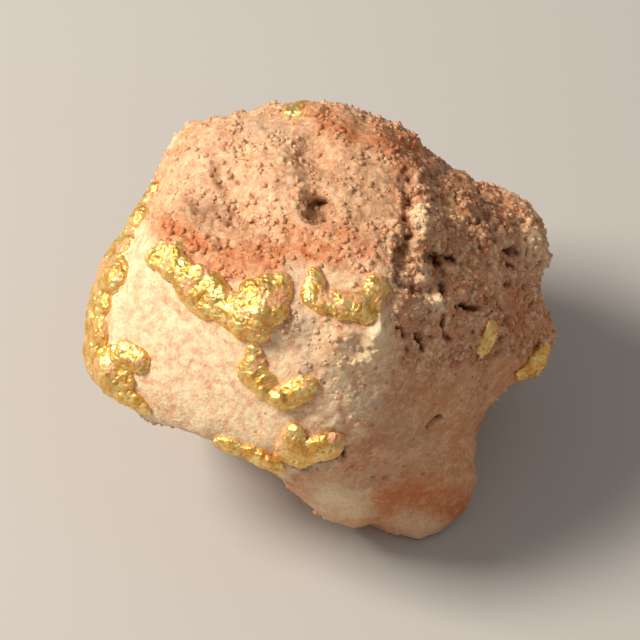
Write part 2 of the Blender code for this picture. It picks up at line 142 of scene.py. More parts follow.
# Dark strokes, partly grime and partly painted shade: the dark in the hollows, crevices and holes is painted
# shade.
DIRT_AND_SHADE_STROKES = [
    (1.0, 0.40, [(-6.4, 5.9), (-5.4, 5.4), (-4.2, 4.6), (-3.4, 4.4)]),
    (0.35, 0.55, [(-5.5, 7.8), (-5.1, 7.0), (-4.7, 6.2)]),
    (0.4, 0.40, [(-4.8, 8.5)]),
    (0.5, 0.25, [(-5.2, 3.7), (-4.0, 3.75), (-2.6, 3.6)]),
    (1.2, 0.55, [(0.1, 5.6), (-0.2, 5.9)]),
    (0.5, 0.80, [(0.05, 5.8)]),
    (0.7, 0.35, [(-0.6, 9.0), (-0.5, 8.0)]),
    (0.4, 0.95, [(5.4, 3.2), (6.8, 3.2)]),
    (0.3, 1.00, [(6.0, 2.8)]),
    (0.3, 1.00, [(6.2, 1.65)]),
    (0.3, 0.60, [(5.6, 2.4)]),
    (0.4, 0.55, SPLIT),
    (0.32, 0.95, [(7.3, 0.6), (8.0, 0.6)]),
    (0.18, 0.80, [(8.4, 1.0)]),
    (0.22, 0.75, [(9.6, 3.5), (10.3, 3.5)]),
    (0.3, 0.85, [(9.8, 2.75)]),
    (0.28, 0.85, [(8.9, 4.05)]),
    (0.22, 0.75, [(8.0, 5.0)]),
    (0.3, 1.00, [(5.0, -0.9), (5.2, -1.4)]),
    (0.24, 0.75, [(4.1, -0.4), (4.2, -0.8)]),
    (0.22, 0.80, [(6.2, 0.2), (6.3, -0.4), (6.5, -0.9)]),
    (0.12, 0.90, [(5.5, -5.5), (6.1, -5.0)]),
    # A painted shadow under the lower edge of the gold foot.
    (0.3, 0.90, [(-1.4, -7.35), (0.0, -7.15), (1.2, -6.7)]),
    (0.9, 0.45, [(8.2, -1.9), (9.2, -1.4)]),
    # Wide faint painted shade where the light falls off over the right of the plateau and the lumpy right
    # end.
    (2.6, 0.34, [(1.8, 9.8), (2.6, 7.4), (2.3, 5.2)]),
    (1.2, 0.30, [(-0.6, 9.2), (-0.4, 7.4)]),
    (2.4, 0.42, [(5.6, 7.6), (7.0, 6.4), (8.2, 5.6)]),
    (1.6, 0.25, [(0.0, 5.7)]),
]
GREY_AND_SHADE_STROKES = [
    (0.9, 0.55, [(-1.2, 2.8), (-1.1, 1.6), (-0.9, 0.4), (-0.8, -1.0), (-0.7, -2.4)]),
    (0.7, 0.55, [(1.8, -3.9), (3.1, -4.2)]),
    # Painted shade on the lower right face.
    (2.2, 0.25, [(3.4, -4.8), (5.0, -6.5), (4.4, -7.6)]),
    (0.6, 0.25, [(-6.3, 5.6), (-5.0, 5.4), (-4.2, 5.6)]),
    (0.9, 0.45, [(-3.9, 9.9), (-2.2, 9.7)]),
    (0.35, 0.95, [(6.1, 1.8)]),
    (0.4, 0.60, [(5.9, 5.6), (6.3, 5.3)]),
    (0.4, 0.65, [(-5.2, -6.1), (-4.2, -6.2)]),
    (0.35, 0.70, [(-1.2, -7.7), (0.6, -7.4)]),
    (0.8, 0.45, [(2.6, -8.0), (3.6, -8.0)]),
]
# Cream strokes: partly the quartz's own cream, partly painted light.
CREAM_AND_LIGHT_STROKES = [
    (0.7, 0.85, [(5.1, 5.4), (5.0, 4.6)]),
    (0.7, 0.90, [(2.9, 0.1), (2.8, -0.8), (2.4, -1.9)]),
    (0.6, 0.60, [(1.2, -2.4), (0.9, -3.4)]),
    (0.5, 0.65, [(0.6, -4.4), (0.7, -5.4)]),
    (0.4, 0.95, [(-7.7, 9.1), (-6.8, 10.0)]),
    (0.4, 0.85, [(0.5, -8.5)]),
    (0.35, 0.95, [(1.5, -8.7), (2.4, -8.8)]),
    (0.45, 0.70, [(2.5, -9.4)]),
    # Painted light on the foot, which lies in the stone's shadow, and on the low lobe.
    (1.6, 1.00, [(0.4, -9.0), (1.6, -9.6)]),
    (1.2, 0.45, [(4.4, -10.6), (5.8, -10.8)]),
    (0.55, 0.70, [(5.3, 2.6), (5.2, 2.0)]),
    (0.45, 0.60, [(6.6, 2.5)]),
    (0.9, 0.55, [(10.8, 4.3), (11.2, 3.4)]),
    # Painted light below the cavity, which lies in its own shadow.
    (1.0, 1.00, [(5.7, 0.9)]),
]

# Lumps and hollows of the fine skin: width, height, places.
RELIEF_STROKES = [
    (0.5, 0.15, [(-8.0, 4.2), (-6.6, 3.5), (-5.0, 2.9), (-3.5, 2.6), (-2.0, 2.6)]),
    (0.8, -0.22, [(-6.3, 5.6), (-5.0, 5.2), (-3.6, 5.0)]),
    (0.3, -0.15, [(-5.5, 7.8), (-5.1, 7.0), (-4.7, 6.2)]),
    (0.5, -0.12, [(-5.4, 3.7), (-4.0, 3.8), (-2.4, 3.8)]),
    (0.5, -0.45, [(0.05, 5.8)]),
    (1.1, -0.45, [(0.1, 5.5), (-0.2, 5.9)]),
    (0.35, -0.5, [(6.0, 2.9)]),
    (0.3, -0.45, [(6.2, 1.6)]),
    (0.3, -0.25, [(5.4, 3.3), (6.8, 3.2)]),
    (0.5, -0.22, SPLIT),
    (0.35, -0.45, [(7.3, 0.6), (8.0, 0.6)]),
    (0.25, -0.30, [(9.6, 3.5), (10.3, 3.5)]),
    (0.3, -0.35, [(9.8, 2.75)]),
    (0.28, -0.35, [(8.9, 4.05)]),
    (0.33, -0.55, [(5.0, -0.9), (5.2, -1.4)]),
    (0.24, -0.30, [(4.1, -0.4), (4.2, -0.8)]),
    (0.24, -0.30, [(6.2, 0.2), (6.3, -0.4), (6.5, -0.9)]),
    (0.12, -0.25, [(5.5, -5.5), (6.1, -5.0)]),
    (0.6, 0.30, [(5.1, 5.4), (5.0, 4.7)]),
    (0.5, 0.25, [(5.3, 2.6), (5.2, 2.0)]),
    (0.5, 0.20, [(6.6, 2.6)]),
    (0.6, 0.25, [(5.7, 0.9)]),
    (0.6, 0.25, [(2.9, 0.1), (2.8, -0.8), (2.4, -1.9)]),
]

# Single holes: right, up, radius. Each is this share of its radius deep, from this far out to its middle.
HOLES = [
    (-5.5, 8.0, 0.16), (-4.45, 7.2, 0.20), (-4.15, 6.9, 0.20), (-3.4, 6.2, 0.18), (-1.2, 6.75, 0.20),
    (-4.6, 4.8, 0.22), (-3.7, 4.75, 0.15), (-3.0, 5.2, 0.20), (-0.3, 8.1, 0.12), (4.3, 7.5, 0.24),
    (5.95, 7.5, 0.18), (5.75, 6.15, 0.20), (4.6, 6.0, 0.18), (4.3, 5.3, 0.22), (4.6, 4.2, 0.25),
    (8.1, 5.0, 0.20), (1.1, 3.0, 0.12), (1.8, 6.4, 0.12), (3.35, -3.2, 0.12), (5.65, -3.3, 0.12),
    (4.85, -4.1, 0.14), (-8.0, 0.0, 0.10), (2.8, -2.4, 0.14), (1.2, -6.75, 0.15), (0.2, -3.2, 0.14),
]
HOLE_DEPTH = 0.9
HOLE_FLOOR = 0.2

# The zones in the order that they are laid: the outline, how lumpy it is, how pale, and how soft its edge is.
# Paleness is partly painted light on the lit front face and partly painted shade on the faces turned from the
# light.
ZONES = [
    (FRONT_FACE, 0.10, 1.0, 0.7),
    (RIDGE_FACE, 0.40, 0.8, 0.7),
    (LUMPY_RIGHT, 1.00, 0.1, 0.9),
    (LOWER_RIGHT_FACE, 0.30, 0.0, 0.9),
    (FEET, 0.22, 0.2, 0.6),
]
PLATEAU_LUMPY, PLATEAU_PALE = 0.6, 0.5
LEAST_LUMPY = 0.05

# The sides that the eye doesn't see, and how squarely a facing looks at the eye where it starts to be seen.
# Noise is given by its spacing, waves and shift. Patches are given by their noise, its values where they
# start and are full, and their strength.
SHOWN_LOW, SHOWN_HIGH = -0.15, 0.2
HIDDEN_LUMPY, HIDDEN_PALE = 0.55, 0.35
HIDDEN_SPREAD = 0.5
HIDDEN_CHANGES = (5.5, 2, 12)
HIDDEN_RUST = (3.4, 4, 30), 0.15, 0.75, 0.8
HIDDEN_GREY = (3.0, 3, 60), 0.25, 0.8, 0.7

# How far noise drives zones, strokes and holes from the places that are given for them.
DRIFT_NOISE = (1.3, 3, 40), (1.3, 3, 80)
PUSH_SHIFTS = (3, 5, 7)
ZONE_DRIFT, STROKE_DRIFT, HOLE_DRIFT = 0.28, 0.2, 0.12

# The rock's relief: its noise or the spacing and shift of its lumps, the height on smooth rock, and how much
# higher it is on lumpy rock.
ROCK_SWELLS = (2.4, 4, 6), 0.05, 0.14
ROCK_LUMPS = [((1.15, 2), 0.0, 0.17), ((0.55, 9), 0.02, 0.13), ((0.28, 19), 0.015, 0.07)]
ROCK_GRIT = (0.22, 3, 15), 0.012, 0.035
ROCK_PUSH = (0.9, 3), 0.32

# Pocks: their spacing, the share of places that have one, their radius and shift, and their depth. Pocks are
# darkened with painted shade.
POCKS = (1.1, 0.22, 0.17, 4)
POCK_DEPTH, POCK_LEAST, POCK_SHADE = 0.12, 0.1, 0.5

# How the listed relief varies along its strokes, and how strongly a hole is darkened with painted shade for
# its depth.
STROKE_CHANGES = (0.45, 2, 70)
STROKE_SHARE = 0.9
HOLE_SHADE = 5

# How the rock gives way where gold lies on it: calmer by this share, and deeper by this much.
GOLD_REACH, BURIED_LOW, BURIED_HIGH = 0.5, -0.15, 0.2
BURIED_CALM, BURIED_DEPTH = 0.7, 0.10

# A crevice is where the skin lies this much lower than when it is smoothed so many times. Crevices are
# darkened there as painted shade.
CREVICE_PASSES, CREVICE_LOW, CREVICE_HIGH = 14, 0.01, 0.12

# Granules: how many each piece has, its half widths and seed, how deep they are sunk, how many shapes there
# are and how unlike a ball these are. They lie in patches on lumpy rock, and none near the ground.
GRANULES = 3900
GRANULE_PIECES = {"quartz_granules": (0.07, 0.17, 181), "quartz_grains": (0.04, 0.10, 111)}
GRANULE_SINK = 0.04
GRANULE_SHAPES = 7
GRANULE_BALL, GRANULE_ROUNDING, GRANULE_JITTER = 1.15, 0.75, 0.32
GRANULE_PATCHES = (1.4, 3, 17), -0.35, 0.25
GRANULAR_LOW, GRANULAR_HIGH = 0.2, 0.9
GROUND_LOW, GROUND_HIGH = 0.4, 0.9
SHAPE_SEED = 11
GRANULE_INPUTS = {
    "Geometry": "NodeSocketGeometry",
    "Per Square Metre": "NodeSocketFloat",
    "Smallest": "NodeSocketFloat",
    "Largest": "NodeSocketFloat",
    "Seed": "NodeSocketInt",
}

# Lights: where each shines from as the eye sees it, its power in watts, its width in metres and its tint.
LIGHTS = {
    "key": ((-0.70, 0.50, 0.62), 0.80, 0.08, (1, 0.91, 0.79)),
    "fill": ((0.5, 0.2, 0.9), 0.03, 0.2, (1, 0.95, 0.9)),
}
LIGHT_DISTANCE = 0.25
SKY_TINT, SKY_STRENGTH = (1, 0.96, 0.9, 1), 0.27
CAMERA_DISTANCE = 0.5
SENSOR_WIDTH = 36
FLOOR_HALF_WIDTH = 0.6
FLOOR_TINT = (0.52, 0.51, 0.50, 1)


def colour(red, green, blue):
    """A colour as a screen shows it, 0 to 255, in Blender's linear values."""
    return tuple((part / 255) ** 2.2 for part in (red, green, blue)) + (1,)


PEACH = colour(246, 196, 152)
PINK = colour(232, 168, 130)
CREAM = colour(255, 228, 186)
# Tan, laid where the rock is least pale: partly painted shade on the faces turned from the light.
TAN_AND_SHADE = colour(208, 144, 102)
RUST = colour(206, 118, 68)
BROWN = colour(128, 74, 44)
DARK = colour(44, 26, 18)
GREY = colour(196, 172, 150)
GOLD_PALE = colour(255, 226, 150)
GOLD_DEEP = colour(240, 180, 92)
# Painted shade in the gold's creases.
GOLD_CREVICE_SHADE = colour(176, 108, 42)


# Meshes as arrays of numbers, in millimetres


def points_of(mesh):
    points = np.empty(len(mesh.vertices) * 3)
    mesh.vertices.foreach_get("co", points)
    return points.reshape(-1, 3) / MM


def put_points(mesh, points):
    mesh.vertices.foreach_set("co", (points * MM).ravel())
    mesh.update()


def raised(mesh, points, facings, height):
    """The points moved out by the height, and put into the mesh. None goes under the ground."""
    points = points + facings * height[:, None]
    points[:, 2] = np.maximum(points[:, 2], 0)
    put_points(mesh, points)
    return points


def facings_of(mesh):
    facings = np.empty(len(mesh.vertices) * 3)
    mesh.vertices.foreach_get("normal", facings)
    return facings.reshape(-1, 3)


def edges_of(mesh):
    edges = np.empty(len(mesh.edges) * 2, dtype=np.int64)
    mesh.edges.foreach_get("vertices", edges)
    return edges.reshape(-1, 2)


def smoothed(values, edges, passes, share=0.5, free=None):
    """Numbers or places at the points, each drawn toward the mean of its neighbours, where they are free."""
    values = np.array(values, dtype=float)
    columns = values.reshape(len(values), -1)
    ends, others = np.concatenate([edges, edges[:, ::-1]]).T
    neighbours = np.maximum(np.bincount(ends, minlength=len(values)), 1)
    share = np.full(len(values), share) if free is None else share * free
    for _ in range(passes):
        for column in columns.T:
            mean = np.bincount(ends, column[others], len(values)) / neighbours
            column += (mean - column) * share
    return values


def mark(mesh, name, values):
    """Keeps a number from 0 to 1 at each point, for the materials to read."""
    layer = mesh.attributes.new(name, "FLOAT", "POINT")
    layer.data.foreach_set("value", np.clip(values, 0, 1).astype(np.float32))


def ramp(values, low, high):
    """0 up to the low value, 1 from the high one, and smooth between."""
    part = np.clip((values - low) / (high - low), 0, 1)
    return part * part * (3 - 2 * part)


def cloud(points, spacing, waves, shift):
    """Soft unevenness of this spacing, from about -1 to 1. The shift keeps it unlike the others."""
    return np.array([noise.fractal(p, 1, 2, waves) for p in (points / spacing + shift).tolist()])


def patches(points, pattern, low, high, strength=1):
    return ramp(cloud(points, *pattern), low, high) * strength


def pushed(points, pattern, amount):
    """The points, pushed about by soft noise."""
    return points + np.stack([cloud(points, *pattern, shift) for shift in PUSH_SHIFTS], axis=1) * amount


def creased(points, spacing, waves, shift):
    """Sharp ridges of this spacing, 1 along their crests."""
    return 1 - 2 * np.abs(cloud(points, spacing, waves, shift))


def domes(points, spacing, shift):
    """Rounded lumps packed side by side at this spacing: 1 at a lump's top, 0 in the creases."""
    found = [noise.voronoi(p)[0][0] for p in (points / spacing + shift).tolist()]
    return 1 - np.clip(np.array(found) / 0.8, 0, 1) ** 2


def pocks(points, spacing, share, radius, shift):
    """Scattered small hollows, 1 at their middles, in this share of the cells of this spacing."""
    depths = []
    for place in (points / spacing + shift).tolist():
        distances, middles = noise.voronoi(place)
        chance = (noise.cell(middles[0] * 7.3) + 1) / 2
        reach = radius / spacing * (0.6 + 0.8 * chance / share)
        depths.append(max(0, 1 - (distances[0] / reach) ** 2) if chance < share else 0)
    return np.array(depths)


# Places as the eye sees them


def seen(points):
    """How far right and up of the middle of the stone, as the eye sees them."""
    away = points - MIDDLE
    return np.stack([away @ RIGHT, away @ UP], axis=1)


def distance_to_line(places, line):
    """How far each place is from this line of places."""
    line = np.array(line, dtype=float)
    best = np.full(len(places), np.inf)
    for start, end in zip(line, line[1:] if len(line) > 1 else line):
        along = end - start
        length = max(along @ along, 1e-9)
        part = np.clip((places - start) @ along / length, 0, 1)
        gap = places - start - part[:, None] * along
        best = np.minimum(best, np.hypot(gap[:, 0], gap[:, 1]))
    return best


def inside(places, outline, soft):
    """1 well inside the outline, 0 well outside, and smooth over this width between."""
    outline = np.array(outline, dtype=float)
    within = np.zeros(len(places), dtype=bool)
    for start, end in zip(outline, np.roll(outline, -1, axis=0)):
        if start[1] == end[1]:
            continue
        crosses = (start[1] > places[:, 1]) != (end[1] > places[:, 1])
        at = start[0] + (places[:, 1] - start[1]) / (end[1] - start[1]) * (end[0] - start[0])
        within ^= crosses & (places[:, 0] < at)
    far = distance_to_line(places, np.vstack([outline, outline[:1]]))
    return ramp(np.where(within, far, -far), -soft / 2, soft / 2)


def painted(places, strokes):
    """The strongest of the strokes at each place."""
    total = np.zeros(len(places))
    for width, strength, line in strokes:
        total = np.maximum(total, strength * ramp(-distance_to_line(places, line), -width, 0))
    return total


# The stone with its sockets filled


def solid_copy(name, swell=0):
    """The mesh of the node of this name as one closed shell, its skin moved out by this much."""
    shell = bmesh.new()
    shell.from_mesh(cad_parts[name].data)
    bmesh.ops.remove_doubles(shell, verts=shell.verts, dist=WELD * MM)
    shell.normal_update()
    for vertex in shell.verts:
        vertex.co += vertex.normal * swell * MM
    return shell


def joined(shells):
    whole = bmesh.new()
    for shell in shells:
        part = bpy.data.meshes.new("part")
        shell.to_mesh(part)
        whole.from_mesh(part)
        bpy.data.meshes.remove(part)
    return whole


def mesh_from(shell):
    mesh = bpy.data.meshes.new("mesh")
    shell.to_mesh(mesh)
    shell.free()
    return mesh


def holder_of(mesh):
    """An object that holds the mesh while a modifier works on it."""
    holder = bpy.data.objects.new("holder", mesh)
    bpy.context.scene.collection.objects.link(holder)
    return holder


def finished_mesh(holder):
    """The holder's mesh as its modifiers leave it. The holder is removed."""
    depsgraph = bpy.context.evaluated_depsgraph_get()
    result = bpy.data.meshes.new_from_object(
        holder.evaluated_get(depsgraph), preserve_all_data_layers=True, depsgraph=depsgraph
    )
    bpy.data.objects.remove(holder)
    return result


def modified(mesh, kind, **settings):
    """The mesh with this modifier applied."""
    holder = holder_of(mesh)
    modifier = holder.modifiers.new(kind.title(), kind)
    for name, value in settings.items():
        setattr(modifier, name, value)
    return finished_mesh(holder)


def remeshed(mesh, grain):
    return modified(mesh, "REMESH", mode="VOXEL", voxel_size=grain * MM)


def filled_stone(gold):
    """The rock and the swelled gold fused, with the skin over each socket let down onto its surroundings."""
    fused = joined([solid_copy(ROCK_NODE)] + [solid_copy(name, SOCKET_FILL) for name in GOLD_NODES])
    mesh = remeshed(mesh_from(fused), COARSE_GRAIN)
    points, edges = points_of(mesh), edges_of(mesh)
    reach = FILL_REACH * MM
    loose = np.array([gold.find_nearest(place, reach)[0] is not None for place in (points * MM).tolist()])
    points = smoothed(points, edges, FILL_PASSES, FILL_SHARE, loose.astype(float))
    put_points(mesh, smoothed(points, edges, FACET_PASSES))
    return mesh


def gold_depth(points, gold):
    """How deep each point lies in the gold, in millimetres: below 0 outside, and no lower than the reach."""
    depths = np.full(len(points), -GOLD_REACH, dtype=float)
    for i, place in enumerate((points * MM).tolist()):
        nearest, facing, _, distance = gold.find_nearest(place, GOLD_REACH * MM)
        if nearest is not None:
            outside = (Vector(place) - nearest).dot(facing) > 0
            depths[i] = (-distance if outside else distance) / MM
    return depths


# The fine skin of the rock


def zone_values(wandering, shown, changes):
    """How lumpy the rock is at each point, and how light its colour is: partly painted light on the lit front
    face and painted shade on the faces turned from the light.
    """
    lumpy, pale_and_lit = np.full(len(shown), PLATEAU_LUMPY), np.full(len(shown), PLATEAU_PALE)
    for outline, lumpiness, zone_pale_and_lit, soft in ZONES:
        here = inside(wandering, outline, soft)
        lumpy += (lumpiness - lumpy) * here
        pale_and_lit += (zone_pale_and_lit - pale_and_lit) * here
    lumpy = lumpy * shown + (HIDDEN_LUMPY + HIDDEN_SPREAD * changes) * (1 - shown)
    pale_and_lit = pale_and_lit * shown + (HIDDEN_PALE - HIDDEN_SPREAD * changes) * (1 - shown)
    return np.clip(lumpy, LEAST_LUMPY, 1), pale_and_lit


def natural_relief(points, lumpy, pocked, bent):
    """The height that swells, lumps, grit and pocks give each point."""
    pattern, smooth, rough = ROCK_SWELLS
    height = cloud(points, *pattern) * (smooth + rough * lumpy)
    for pattern, smooth, rough in ROCK_LUMPS:
        height += (domes(bent, *pattern) - 0.5) * (smooth + rough * lumpy)
    pattern, smooth, rough = ROCK_GRIT
    height += cloud(points, *pattern) * (smooth + rough * lumpy)
    return height - pocked * POCK_DEPTH * (POCK_LEAST + lumpy)


def hand_relief(points, places):
    """The height of the lumps and hollows that are listed."""
    height = np.zeros(len(points))
    for width, rise, line in RELIEF_STROKES:
        near = np.clip(distance_to_line(places, line) / width, 0, 1)
        height += rise * (1 - near**2) ** 2
    return height * (STROKE_SHARE + STROKE_SHARE * cloud(points, *STROKE_CHANGES))


def hole_depth(places):
    """How deep the single holes are at each place."""
    depth = np.zeros(len(places))
    for right, up, radius in HOLES:
        near = np.hypot(*(places - (right, up)).T) / radius
        depth = np.maximum(depth, ramp(-near, -1, -HOLE_FLOOR) * radius * HOLE_DEPTH)
    return depth


def rock_skin(stone, gold):
    mesh = remeshed(stone.copy(), ROCK_GRAIN)
    edges = edges_of(mesh)
    points = smoothed(points_of(mesh), edges, FACET_PASSES)
    put_points(mesh, points)
    facings, places = facings_of(mesh), seen(points)
    shown = ramp(facings @ TOWARD, SHOWN_LOW, SHOWN_HIGH)
    drift = np.stack([cloud(points, *pattern) for pattern in DRIFT_NOISE], axis=1)
    wandering = places + drift * ZONE_DRIFT
    lumpy, pale_and_lit = zone_values(wandering, shown, cloud(points, *HIDDEN_CHANGES))

    bent = pushed(points, *ROCK_PUSH)
    pocked = pocks(bent, *POCKS)
    holes = hole_depth(places + drift * HOLE_DRIFT)
    height = natural_relief(points, lumpy, pocked, bent)
    height += (hand_relief(points, places + drift * STROKE_DRIFT) - holes) * shown
    buried = ramp(gold_depth(points, gold), BURIED_LOW, BURIED_HIGH)
    height = height * (1 - BURIED_CALM * buried) - BURIED_DEPTH * buried
    points = raised(mesh, points, facings, height)

    # Painted shade: the holes darker for their depth, and the crevices darker where the skin lies low.
    hole_shade = np.clip(holes * HOLE_SHADE, 0, 1)
    crevice_shade = ramp(smoothed(height, edges, CREVICE_PASSES) - height, CREVICE_LOW, CREVICE_HIGH)
    rust = painted(wandering, RUST_STROKES) * shown + patches(points, *HIDDEN_RUST) * (1 - shown)
    # Grey quartz, and a stroke of painted shade on the lower right face.
    grey_and_shade = painted(wandering, GREY_AND_SHADE_STROKES) * shown + patches(points, *HIDDEN_GREY) * (1 - shown)
    clear = (1 - buried) * (1 - hole_shade) * ramp(points[:, 2], GROUND_LOW, GROUND_HIGH)
    granular = ramp(lumpy, GRANULAR_LOW, GRANULAR_HIGH) * patches(points, *GRANULE_PATCHES) * clear
    mark(mesh, "lumpy", lumpy)
    # Paleness: partly painted light on the lit front face and painted shade on the faces turned from the
    # light.
    mark(mesh, "pale_and_lit", pale_and_lit)
    mark(mesh, "crevice_shade", np.maximum(crevice_shade, hole_shade))
    mark(mesh, "rust", rust)
    # Dark strokes and pocks: grime, and painted shade in the hollows and where the light falls off.
    mark(mesh, "dirt_and_shade", np.maximum(painted(wandering, DIRT_AND_SHADE_STROKES) * shown, pocked * POCK_SHADE * lumpy))
    mark(mesh, "grey_and_shade", grey_and_shade)
    # Cream strokes, partly painted light.
    mark(mesh, "cream_and_light", painted(wandering, CREAM_AND_LIGHT_STROKES) * shown)
    mark(mesh, "granular", granular)
    return thinned(mesh)


def thinned(mesh):
    """The mesh with no more triangles than the rock's skin may keep."""
    triangles = sum(len(face.vertices) - 2 for face in mesh.polygons)
    if triangles <= ROCK_TRIANGLES:
        return mesh
    return modified(mesh, "DECIMATE", ratio=ROCK_TRIANGLES / triangles, use_collapse_triangulate=True)


# The fine skins of the gold


def pressed(points, bed):
    """The points above the bed of rock, let down toward it."""
    low = []
    for place in (points * MM).tolist():
        nearest, facing, _, _ = bed.find_nearest(place)
        above = (Vector(place) - nearest).dot(facing)
        low.append(Vector(place) - facing * max(above, 0) * GOLD_PRESS)
    return np.array(low) / MM


def gold_skin(name, bed):
    mesh = remeshed(mesh_from(solid_copy(name, GOLD_SWELL)), GOLD_GRAIN)
    edges = edges_of(mesh)
    points = pressed(smoothed(points_of(mesh), edges, GOLD_SMOOTHING), bed)
    put_points(mesh, points)
    facings = facings_of(mesh)
    bent = pushed(points, *GOLD_PUSH)
    pattern, rise = GOLD_ROLLS
    height = cloud(points, *pattern) * rise
    for pattern, rise in (GOLD_RIDGES, GOLD_WRINKLES):
        height += creased(bent, *pattern) * rise
    points = raised(mesh, points, facings, height)
    crust = CRUSTED.get(name, 0) + cloud(points, *CRUST_NOISE) + CRUST_UPWARD * facings @ UP
    # Painted shade in the gold's creases, where the skin lies lower than when it is smoothed.
    mark(mesh, "crevice_shade", ramp(smoothed(height, edges, GOLD_CREVICE_PASSES) - height, 0, GOLD_CREVICE_HIGH))
    mark(mesh, "crust", ramp(crust, CRUST_LOW, CRUST_HIGH))
    return mesh


# Granules of quartz on the rough zones


def granule_shapes():
    """Small rounded blocks, none like another, in a collection that stays out of the scene."""
    shapes = bpy.data.collections.new("granule shapes")
    chance = np.random.default_rng(SHAPE_SEED)
    for k in range(GRANULE_SHAPES):
        block = bmesh.new()
        bmesh.ops.create_cube(block, size=2)
        bmesh.ops.subdivide_edges(block, edges=block.edges[:], cuts=1, use_grid_fill=True)
        for vertex in block.verts:
            rounded = vertex.co.lerp(vertex.co.normalized() * GRANULE_BALL, GRANULE_ROUNDING)
            vertex.co = rounded * (1 + GRANULE_JITTER * chance.uniform(-1, 1))
        shapes.objects.link(bpy.data.objects.new(f"granule {k}", mesh_from(block)))
    return shapes


def granule_tree(shapes, material):
    """Blocks scattered on a surface. Sockets that share a name with others are given by their number."""
    tree = bpy.data.node_groups.new("granules", "GeometryNodeTree")
    sockets = {}
    for name, kind in GRANULE_INPUTS.items():
        made = tree.interface.new_socket(name, in_out="INPUT", socket_type=kind)
        sockets[name] = made.identifier
    tree.interface.new_socket("Geometry", in_out="OUTPUT", socket_type="NodeSocketGeometry")
    given = node(tree, "NodeGroupInput").outputs

    rough = node(tree, "GeometryNodeInputNamedAttribute", {"Name": "granular"}, data_type="FLOAT")
    density = node(tree, "ShaderNodeMath", {
        0: rough.outputs["Attribute"], 1: given["Per Square Metre"],
    }, operation="MULTIPLY")
    scattered = node(tree, "GeometryNodeDistributePointsOnFaces", {
        "Mesh": given["Geometry"], "Density": density.outputs[0], "Seed": given["Seed"],
    })
    inward = node(tree, "ShaderNodeVectorMath", {
        0: scattered.outputs["Normal"], "Scale": -GRANULE_SINK * MM,
    }, operation="SCALE")
    sunk = node(tree, "GeometryNodeSetPosition", {
        "Geometry": scattered.outputs["Points"], "Offset": inward.outputs[0],
    })

    picked = node(tree, "GeometryNodeCollectionInfo", {
        "Collection": shapes, "Separate Children": True, "Reset Children": True,
    })
    turned = node(tree, "FunctionNodeRandomValue", {1: (math.tau,) * 3}, data_type="FLOAT_VECTOR")
    sized = node(tree, "FunctionNodeRandomValue", {
        2: given["Smallest"], 3: given["Largest"], "Seed": given["Seed"],
    }, data_type="FLOAT")
    placed = node(tree, "GeometryNodeInstanceOnPoints", {
        "Points": sunk.outputs["Geometry"], "Instance": picked.outputs["Instances"], "Pick Instance": True,
        "Rotation": turned.outputs[0], "Scale": sized.outputs[1],
    })
    whole = node(tree, "GeometryNodeRealizeInstances", {"Geometry": placed.outputs["Instances"]})
    finished = node(tree, "GeometryNodeSetMaterial", {
        "Geometry": whole.outputs["Geometry"], "Material": material,
    })
    node(tree, "NodeGroupOutput", {"Geometry": finished.outputs["Geometry"]})
    return tree, sockets


def granules(skin, material, smallest, largest, seed):
    """Granules scattered over the skin, close together where it is granular."""
    tree, sockets = granule_tree(granule_shapes(), material)
    rough = np.empty(len(skin.vertices))
    skin.attributes["granular"].data.foreach_get("value", rough)
    areas = np.array([face.area for face in skin.polygons])
    first = np.array([face.vertices[0] for face in skin.polygons])
    holder = holder_of(skin)
    modifier = holder.modifiers.new("Granules", "NODES")
    modifier.node_group = tree
    modifier[sockets["Per Square Metre"]] = GRANULES / float((areas * rough[first]).sum())
    modifier[sockets["Smallest"]] = smallest * MM
    modifier[sockets["Largest"]] = largest * MM
    modifier[sockets["Seed"]] = seed
    return finished_mesh(holder)


# Node trees


def node(tree, kind, inputs=(), **settings):
    """A node with these settings. Each input is a value, or another node's output that is linked to it."""
    made = tree.nodes.new(kind)
    for name, value in settings.items():
        setattr(made, name, value)
    for key, value in dict(inputs).items():
        if isinstance(value, bpy.types.NodeSocket):
            tree.links.new(value, made.inputs[key])
        else:
            made.inputs[key].default_value = value
    return made


